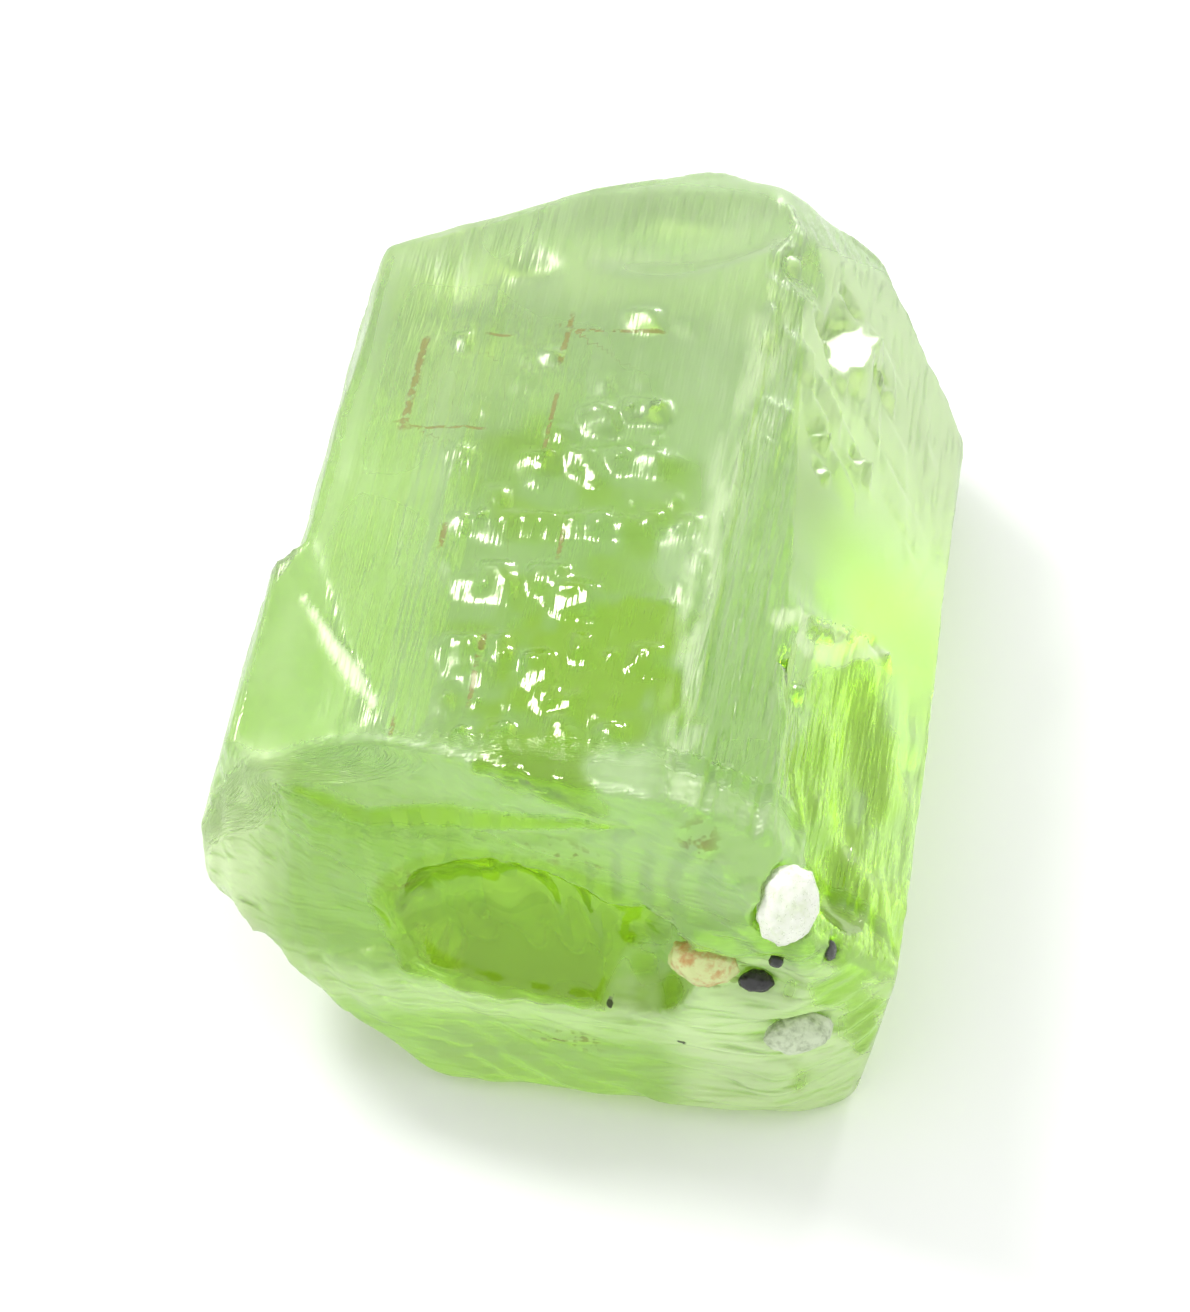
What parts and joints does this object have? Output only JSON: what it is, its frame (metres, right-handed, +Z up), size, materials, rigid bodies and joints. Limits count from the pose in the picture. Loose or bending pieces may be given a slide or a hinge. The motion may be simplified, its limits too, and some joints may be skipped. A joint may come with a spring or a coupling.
{
  "type": "rough peridot crystal",
  "caption": "Rough green peridot crystal lying on its side, with etched and ribbed faces, a hollowed broken end and small grains of other minerals.",
  "frame": {"origin": "under the middle of the crystal's box, on the surface that it lies on", "axes": "+Z up; +Y along the crystal, about 10 degrees off its long axis, from the broken end to the grown end; +X to the right"},
  "size_m": [0.0172, 0.0224, 0.0107],
  "materials": {
    "peridot": "clear green, frosted on the grown faces and glossy on the breaks",
    "white_mineral": "waxy",
    "cream_mineral": "waxy",
    "grey_mineral": "grainy",
    "black_mineral": "glossy"
  },
  "bodies": {
    "root": {"peridot_crystal": "peridot", "white_grain": "white_mineral", "cream_grain": "cream_mineral", "grey_grain": "grey_mineral", "black_grain_upper": "black_mineral", "black_grain_side": "black_mineral", "black_grain_lower": "black_mineral"}
  },
  "joints": []
}
